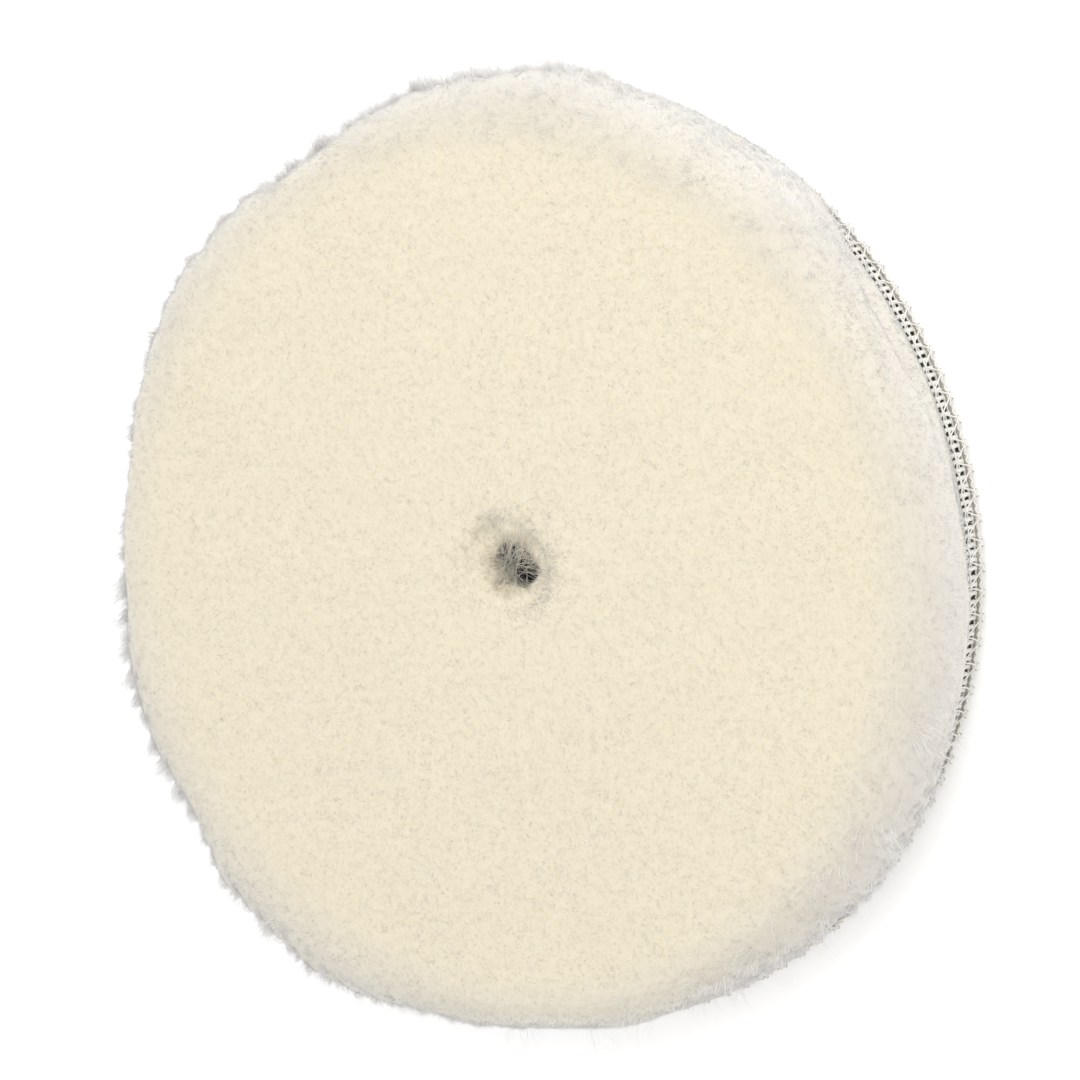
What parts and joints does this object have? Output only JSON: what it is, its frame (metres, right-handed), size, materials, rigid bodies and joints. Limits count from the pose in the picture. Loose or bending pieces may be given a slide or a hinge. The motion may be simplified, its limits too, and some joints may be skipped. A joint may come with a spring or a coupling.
{
  "type": "polishing pad",
  "caption": "Wool polishing pad: cut wool pile on a knitted cloth over a foam core, with hook-and-loop backing, centring hole and overlocked rim.",
  "frame": {"origin": "centre of the centring hole at the outer face of the hook-and-loop backing", "axes": "+Z out of the wool face along the centring hole, X and Y in the plane of the backing"},
  "size_m": [0.182, 0.182, 0.0248],
  "materials": {
    "wool": "matte",
    "knit": "matte",
    "latex": "matte",
    "glue": "satin",
    "foam": "matte",
    "loop_ground": "matte",
    "loop_nap": "matte",
    "thread": "satin"
  },
  "bodies": {
    "root": {"wool_pile": "wool", "knitted_cloth": "knit", "root_coat": "latex", "face_glue_film": "glue", "foam_core": "foam", "back_glue_film": "glue", "loop_cloth": "loop_ground", "loop_nap": "loop_nap", "needle_thread": "thread", "upper_looper_thread": "thread", "lower_looper_thread": "thread"}
  },
  "joints": []
}
